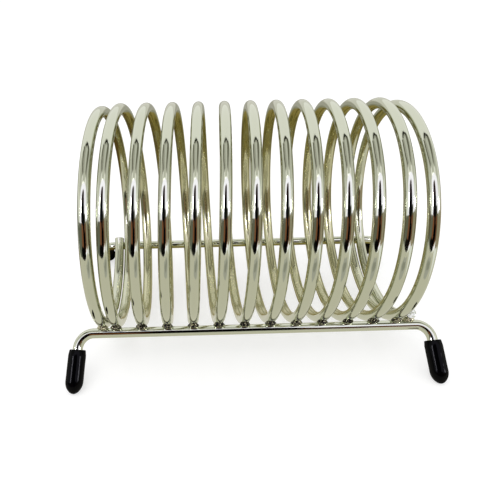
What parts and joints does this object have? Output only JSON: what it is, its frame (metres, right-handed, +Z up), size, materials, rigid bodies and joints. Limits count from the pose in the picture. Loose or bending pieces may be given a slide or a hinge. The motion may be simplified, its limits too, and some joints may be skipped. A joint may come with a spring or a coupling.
{
  "type": "letter rack",
  "caption": "Desk rack for letters: a chromed wire wound into an open coil, welded to bent rods that stand on soft black caps.",
  "frame": {"origin": "on the floor, midway between the four soft caps", "axes": "+X along the coil, to the right as seen from the front; +Y towards the back; +Z up"},
  "size_m": [0.205, 0.1404, 0.1333],
  "materials": {
    "coil_chrome": "polished",
    "rod_chrome": "polished",
    "weld_metal": "polished",
    "cap_vinyl": "gloss"
  },
  "bodies": {
    "root": {"coil_wire": "coil_chrome", "front_rod": "rod_chrome", "rear_rod": "rod_chrome", "front_rod_welds": "weld_metal", "rear_rod_welds": "weld_metal", "foot_cap_front_left": "cap_vinyl", "foot_cap_front_right": "cap_vinyl", "foot_cap_rear_left": "cap_vinyl", "foot_cap_rear_right": "cap_vinyl"}
  },
  "joints": []
}
